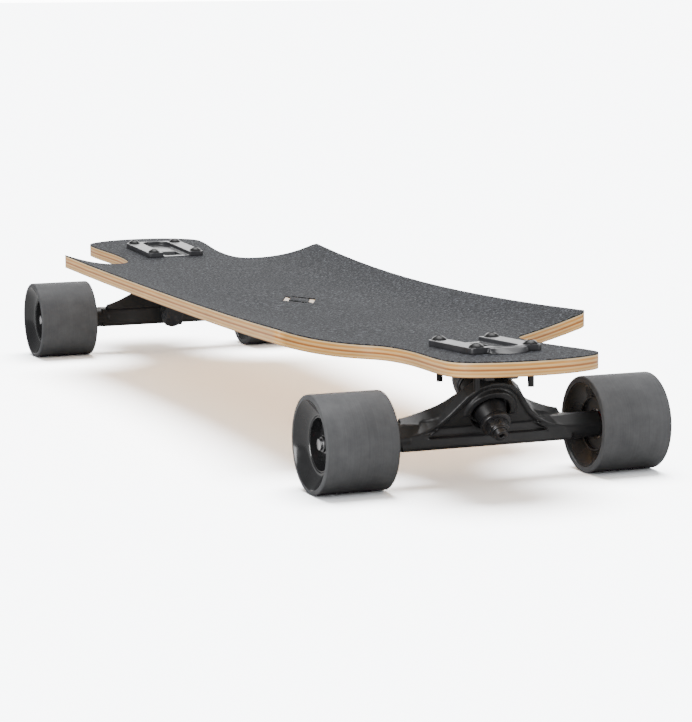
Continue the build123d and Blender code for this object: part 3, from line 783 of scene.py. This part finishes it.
for end in ENDS:
    hanger_body = f"{end}_hanger_body"
    show(cast_plate(end), "board", [f"{end}_baseplate"], "cast_black", PLATE)
    show(cast_hanger(end), hanger_body, [f"{end}_hanger"], "cast_black", HANGER)
    for kind, width, material, slot, on_hanger in DETAILS:
        name = f"{end}_{kind}"
        piece = rounded(f"{name}_detail", name, width * MM, angle=DETAIL_ANGLE)
        if kind == "mounting_bolts":
            grow_heads(piece, end)
        show(piece, hanger_body if on_hanger else "board", [name], slot, material)
    for kind in ("boardside_bushing", "roadside_bushing"):
        bushing(end, kind)
    cup = rounded(f"{end}_pivot_cup_moulded", f"{end}_pivot_cup", PIVOT_CUP_ROUND, angle=DETAIL_ANGLE)
    show(cup, "board", [f"{end}_pivot_cup"], BUSHING_SLOT, URETHANE)
    for kind in ("speed_washers", "bearing_spacers", "inner_races"):
        paint(f"{end}_{kind}", BRIGHT_STEEL)


# Wheels

CORE_RADIUS = 18.5 * MM
TYRE_TURNS = 160

# The urethane's section: the rounded edge of the tread, the bowls of the two faces and the core's seat
EDGE_ROUND = 1.2 * MM
EDGE_STEPS = 4
OPENING_GAP = 1.0 * MM
OPENING_EASE = 0.5 * MM
OPENING_STEP = 0.6 * MM
BOWL_DEPTH = 7.4 * MM
BOWL_STEPS = 10
SEAT_IN = 7.9 * MM
MATT, GLOSS = 0, 1

# The outer face's lip, where the matt tread ends
LIP_IN = 2.0 * MM
LIP_DROP = 0.5 * MM
LIP_EASE = 0.6 * MM
LIP_LINE = (0.25 * MM, 0.06 * MM)
OUTER_CURVE = 1.6

# The inner face's wider rim, with the line where the tread ends
INNER_RIM = 3.2 * MM
INNER_LINE = (0.15 * MM, 0.2 * MM)
INNER_DROP = (0.3 * MM, 0.8 * MM)
INNER_CURVE = 1.25


def tyre_profile(radius, half, core, outward):
    """Half section of the wheel's urethane, as (radius, distance along the axle, material)."""
    rim = radius - EDGE_ROUND
    opening = core + OPENING_GAP
    seat = half - SEAT_IN
    floor = half - BOWL_DEPTH
    points = [
        (core, -seat, GLOSS), (core, seat, GLOSS), (opening, seat, GLOSS),
        (opening, floor - OPENING_STEP, GLOSS), (opening + OPENING_EASE, floor, GLOSS),
    ]
    lip = rim - LIP_IN
    width = lip - opening - OPENING_EASE - LIP_EASE
    for i in range(1, BOWL_STEPS):
        share = i / BOWL_STEPS
        along = half - BOWL_DEPTH * (1 - share ** OUTER_CURVE) - LIP_DROP * share
        points.append((opening + OPENING_EASE + width * share, along, GLOSS))
    points.append((lip - LIP_EASE, half - LIP_DROP, GLOSS))
    points.append((lip - LIP_LINE[0], half - LIP_LINE[1], MATT))
    points.append((lip, half, MATT))
    for i in range(EDGE_STEPS + 1):
        a = math.pi / 2 * i / EDGE_STEPS
        points.append((rim + EDGE_ROUND * math.sin(a), half - EDGE_ROUND * (1 - math.cos(a)), MATT))
    for i in range(EDGE_STEPS + 1):
        a = math.pi / 2 * (1 - i / EDGE_STEPS)
        points.append((rim + EDGE_ROUND * math.sin(a), -half + EDGE_ROUND * (1 - math.cos(a)), MATT))
    inner = rim - INNER_RIM
    start = inner - INNER_DROP[0]
    points.append((inner, -half, MATT))
    points.append((inner - INNER_LINE[0], -half + INNER_LINE[1], GLOSS))
    points.append((start, -half + INNER_DROP[1], GLOSS))
    for i in range(1, BOWL_STEPS + 1):
        share = i / BOWL_STEPS
        along = -half + INNER_DROP[1] + (BOWL_DEPTH - INNER_DROP[1]) * share ** INNER_CURVE
        points.append((start - (start - opening - OPENING_EASE) * share, along, GLOSS))
    points.append((opening, -floor + OPENING_STEP, GLOSS))
    points.append((opening, -seat, GLOSS))
    return [(r, y * outward, material) for r, y, material in points]


for end in ENDS:
    for side in SIDES:
        name = f"{end}_{side}"
        low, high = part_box(f"{name}_tyre")
        centre = (low + high) / 2
        outward = 1 if centre.y > 0 else -1
        profile = tyre_profile((high.z - low.z) / 2, (high.y - low.y) / 2, CORE_RADIUS, outward)
        tyre = lathe(f"{name}_urethane", profile, centre, TYRE_TURNS)
        show(tyre, f"{name}_wheel", [f"{name}_tyre"], "wheel_urethane", TREAD, FACE)
        for kind, material in (
            ("wheel_core", CORE), ("outer_races", BRIGHT_STEEL), ("bearing_balls", BRIGHT_STEEL),
            ("bearing_cages", NYLON), ("bearing_shields", SEAL),
        ):
            paint(f"{name}_{kind}", material)


# Stage, light and camera

# What the camera sees of the floor and the background, and what lights the object
FLOOR_SEEN = (7.7, 7.9, 8.1, 1.0)
FLOOR_TONE = (0.8, 0.8, 0.8, 1.0)
FLOOR_REACH = 60.0
WORLD_SEEN = 12.5
WORLD_LIGHT = 0.21
WHITE = (1.0, 1.0, 1.0, 1.0)

# The sun: the way towards it, its strength and its spread in degrees
SUN = ((-0.22, 0.15, 1.0), 2.7, 48)

# Soft boxes: name, place, what they look at, size, power
SOFT_BOXES = (
    ("back_softbox", (-2.7, 1.25, 1.05), (0.2, 0.0, 0.1), (3.4, 1.2), 55),
    ("left_fill", (1.6, -2.4, 1.0), (0.3, 0.0, 0.05), (1.3, 1.6), 74),
    ("right_strip", (1.7, 1.9, 0.9), (0.35, 0.0, 0.05), (0.5, 1.3), 26),
)


def floor_material():
    """A floor that is white to the camera and pale grey to the object."""
    material = bpy.data.materials.new("pale_floor")
    material.use_nodes = True
    tree = material.node_tree
    tree.nodes.clear()
    diffuse = tree.nodes.new("ShaderNodeBsdfDiffuse")
    output = tree.nodes.new("ShaderNodeOutputMaterial")
    path = tree.nodes.new("ShaderNodeLightPath")
    tone = tree.nodes.new("ShaderNodeMix")
    tone.data_type = "RGBA"
    tone.inputs[6].default_value = FLOOR_TONE
    tone.inputs[7].default_value = FLOOR_SEEN
    tree.links.new(path.outputs["Is Camera Ray"], tone.inputs[0])
    tree.links.new(tone.outputs[2], diffuse.inputs["Color"])
    tree.links.new(diffuse.outputs["BSDF"], output.inputs["Surface"])
    return material


def spare(lamp, surface):
    """Keeps a lamp's light off a surface."""
    kept = bpy.data.collections.new(f"{lamp.name}_spares")
    kept.objects.link(surface)
    kept.collection_objects[0].light_linking.link_state = "EXCLUDE"
    lamp.light_linking.receiver_collection = kept


def add_floor():
    mesh = bmesh.new()
    bmesh.ops.create_grid(mesh, x_segments=4, y_segments=4, size=FLOOR_REACH)
    floor = new_object("floor", mesh)
    floor.data.materials.append(floor_material())
    return floor


def add_light(name, place, target, size, power):
    """A soft area light looking at a point."""
    lamp = bpy.data.lights.new(name, "AREA")
    lamp.shape = "RECTANGLE"
    lamp.size, lamp.size_y = size
    lamp.energy = power
    thing = bpy.data.objects.new(name, lamp)
    bpy.context.scene.collection.objects.link(thing)
    thing.location = place
    thing.rotation_euler = (Vector(target) - Vector(place)).to_track_quat("-Z", "Y").to_euler()
    thing.visible_camera = False
    return thing


def add_sun(name, towards, strength, spread):
    """Even light from one direction, with soft shadows."""
    lamp = bpy.data.lights.new(name, "SUN")
    lamp.energy = strength
    lamp.angle = math.radians(spread)
    thing = bpy.data.objects.new(name, lamp)
    bpy.context.scene.collection.objects.link(thing)
    thing.rotation_euler = Vector(towards).to_track_quat("Z", "Y").to_euler()


def add_world():
    world = bpy.data.worlds.new("studio")
    world.use_nodes = True
    tree = world.node_tree
    background = tree.nodes["Background"]
    background.inputs["Color"].default_value = WHITE
    path = tree.nodes.new("ShaderNodeLightPath")
    strength = tree.nodes.new("ShaderNodeMapRange")
    strength.inputs["To Min"].default_value = WORLD_LIGHT
    strength.inputs["To Max"].default_value = WORLD_SEEN
    tree.links.new(path.outputs["Is Camera Ray"], strength.inputs["Value"])
    tree.links.new(strength.outputs["Result"], background.inputs["Strength"])
    bpy.context.scene.world = world


def add_camera():
    data = bpy.data.cameras.new("camera")
    data.sensor_width = CAMERA_SENSOR
    data.lens = CAMERA_LENS
    data.clip_end = CAMERA_SIGHT
    camera = bpy.data.objects.new("camera", data)
    bpy.context.scene.collection.objects.link(camera)
    a, e, r = CAMERA_YAW, CAMERA_PITCH, CAMERA_ROLL
    back = Vector((math.sin(a) * math.cos(e), -math.cos(a) * math.cos(e), math.sin(e)))
    right = Vector((math.cos(a), math.sin(a), 0))
    up = back.cross(right)
    across = right * math.cos(r) + up * math.sin(r)
    upright = up * math.cos(r) - right * math.sin(r)
    turn = Matrix((across, upright, back)).transposed()
    camera.matrix_world = Matrix.Translation(CAMERA_PLACE) @ turn.to_4x4()
    bpy.context.scene.camera = camera


floor = add_floor()
add_world()
add_sun("overhead", *SUN)
for box in SOFT_BOXES:
    spare(add_light(*box), floor)
add_camera()
